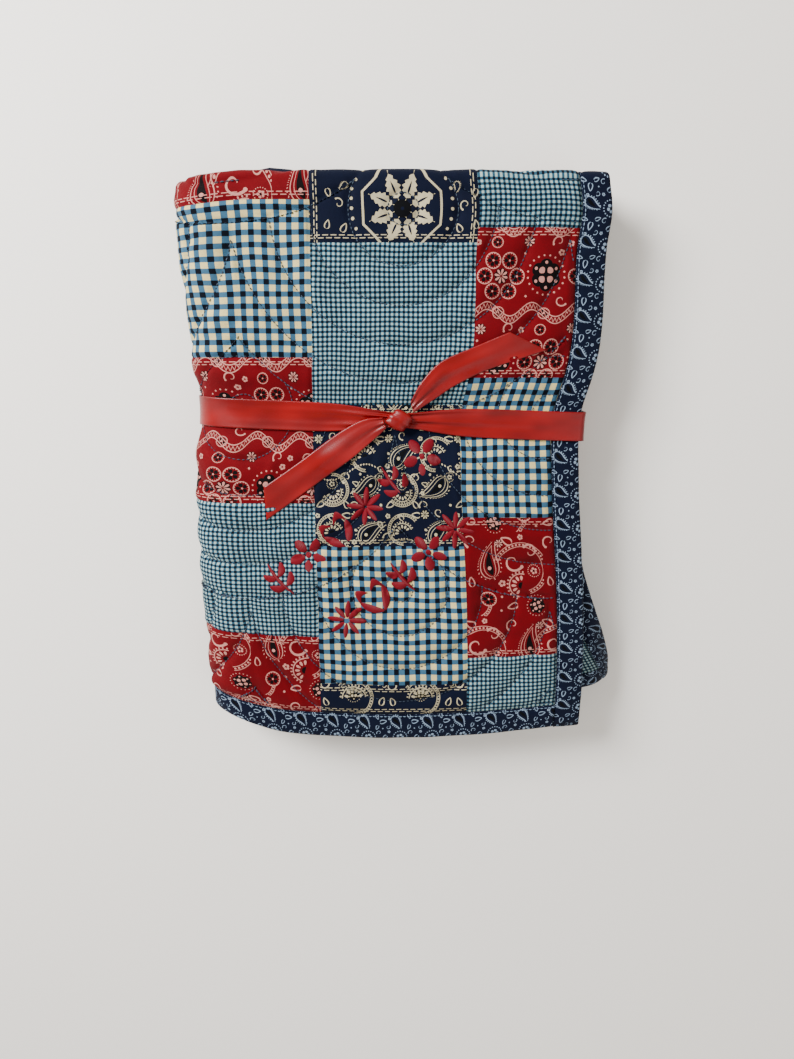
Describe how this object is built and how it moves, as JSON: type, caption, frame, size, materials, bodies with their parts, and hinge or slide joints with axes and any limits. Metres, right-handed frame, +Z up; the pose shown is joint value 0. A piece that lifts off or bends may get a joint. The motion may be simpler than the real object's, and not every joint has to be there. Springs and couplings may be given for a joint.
{
  "type": "folded crib quilt",
  "caption": "Pieced and bound crib quilt folded into a flat bundle and tied round with a satin ribbon, lying on its back.",
  "frame": {"origin": "on the surface it lies on, under the middle of the folded bundle with its slewed corner", "axes": "+Z up out of the front face, +Y up the face from the hems to the folded top end, +X across to the bound edge that shows"},
  "size_m": [0.3298, 0.4256, 0.0551],
  "materials": {
    "quilt": "pieced cotton in red and navy bandana prints and blue gingham, quilted",
    "binding": "navy cotton printed with small white paisleys",
    "ribbon": "red satin"
  },
  "bodies": {
    "root": {"quilt_panel": "quilt", "binding_side_front": "binding", "binding_side_inner": "binding", "binding_hem_front": "binding", "binding_hem_inner": "binding", "ribbon_band": "ribbon", "ribbon_knot": "ribbon", "ribbon_tail_left": "ribbon", "ribbon_tail_right": "ribbon"}
  },
  "joints": []
}
